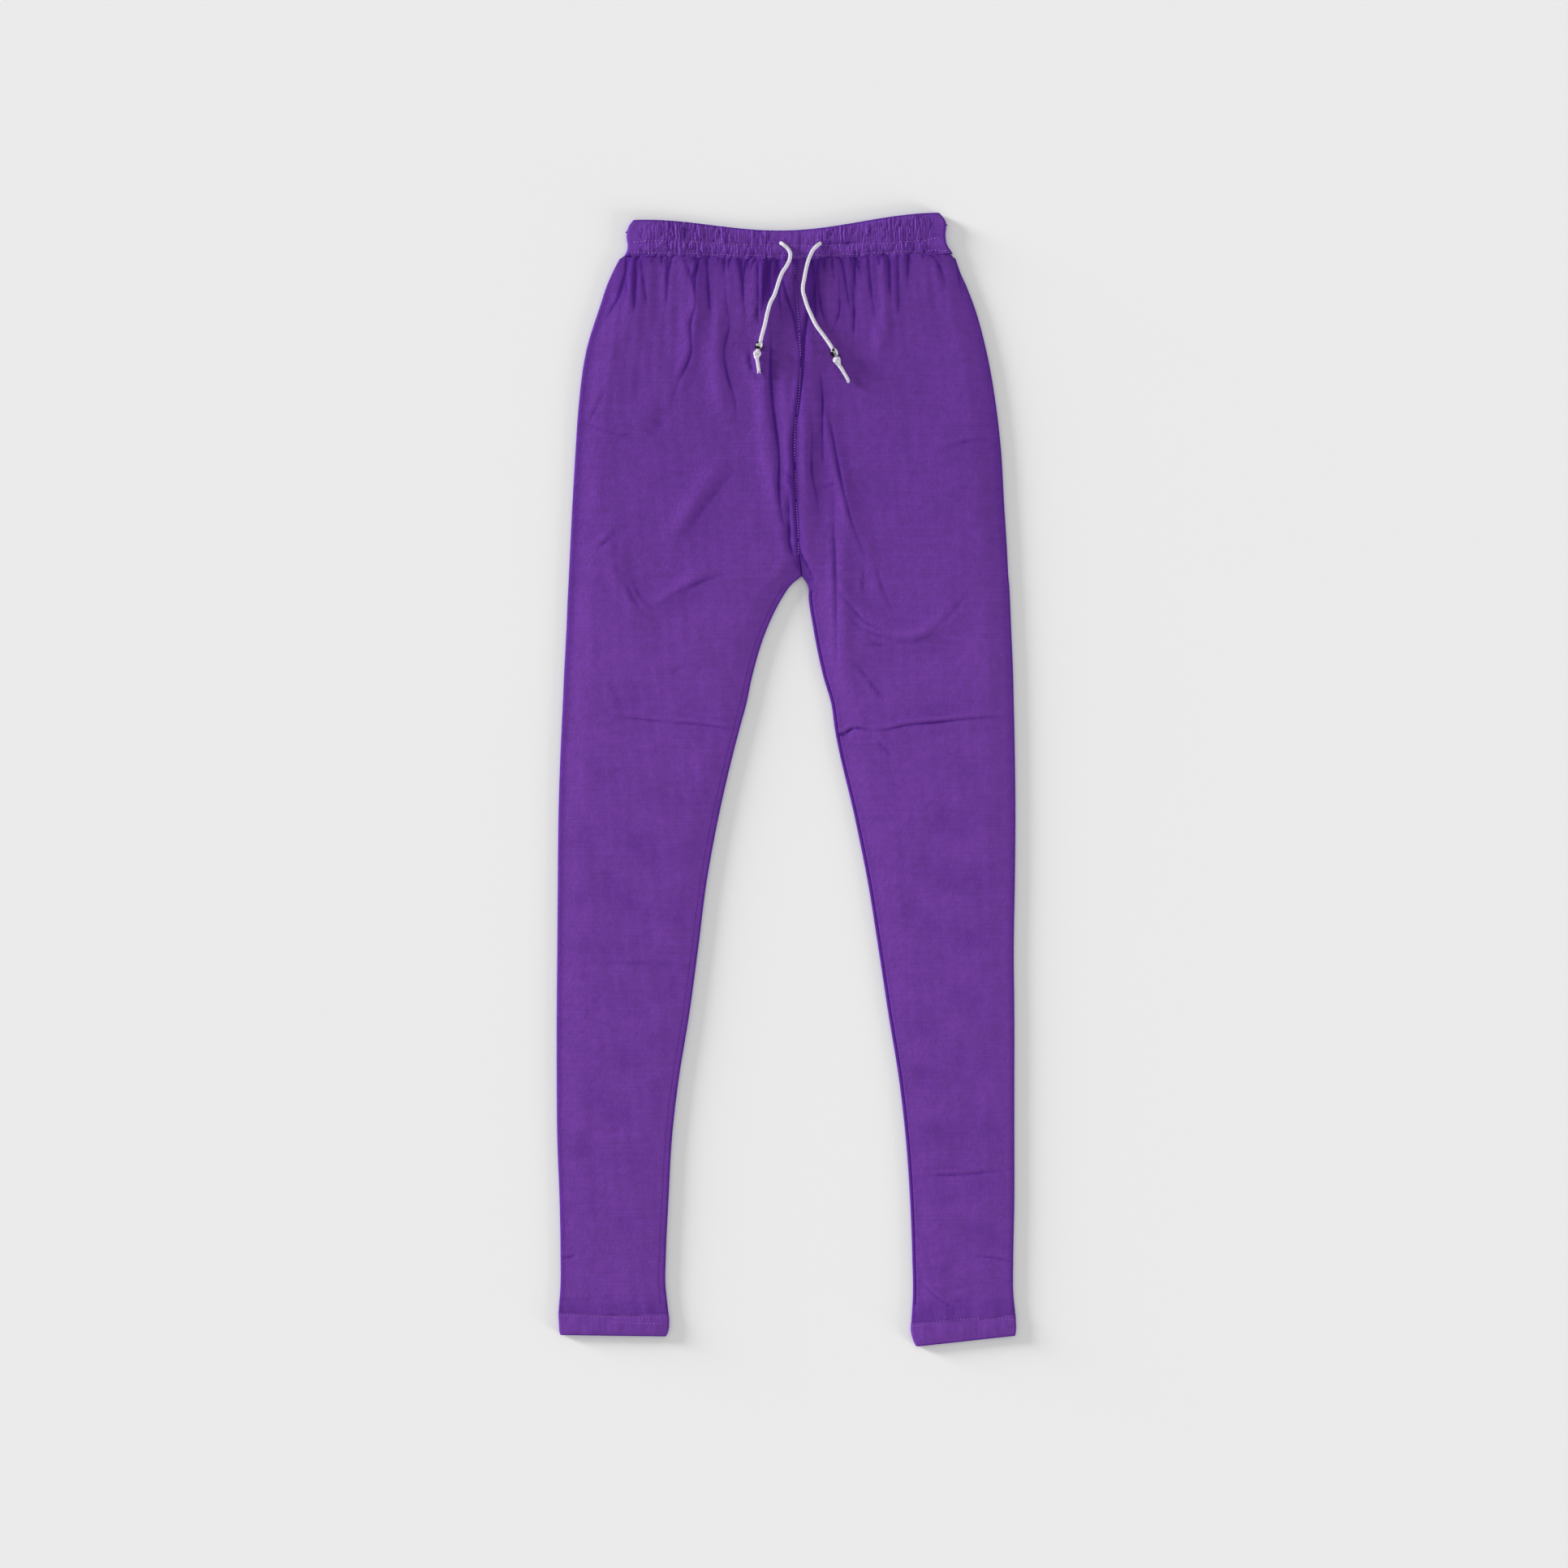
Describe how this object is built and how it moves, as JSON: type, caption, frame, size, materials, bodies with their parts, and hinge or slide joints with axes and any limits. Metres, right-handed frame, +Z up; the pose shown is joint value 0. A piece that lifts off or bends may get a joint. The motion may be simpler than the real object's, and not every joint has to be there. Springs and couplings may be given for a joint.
{
  "type": "churidar pants",
  "caption": "Knit churidar trousers lying flat, with a gathered elastic waist, a beaded drawstring and narrow ankles.",
  "frame": {"origin": "on the surface that the garment lies on, under the middle of its plan", "axes": "+Z up from the surface, +Y from the ankles towards the waist, +X towards the wearer's left leg"},
  "size_m": [0.4141, 1.02, 0.0132],
  "materials": {
    "jersey": "matte purple knit with a soft sheen",
    "cord": "white braided cord with a lilac cast",
    "bead": "faceted bright metal"
  },
  "bodies": {
    "root": {"leg_right": "jersey", "leg_left": "jersey", "waistband": "jersey", "hem_right": "jersey", "hem_left": "jersey", "cord_right": "cord", "cord_left": "cord", "tail_right": "cord", "tail_left": "cord", "knot_right": "cord", "knot_left": "cord", "bead_right": "bead", "bead_left": "bead"}
  },
  "joints": []
}
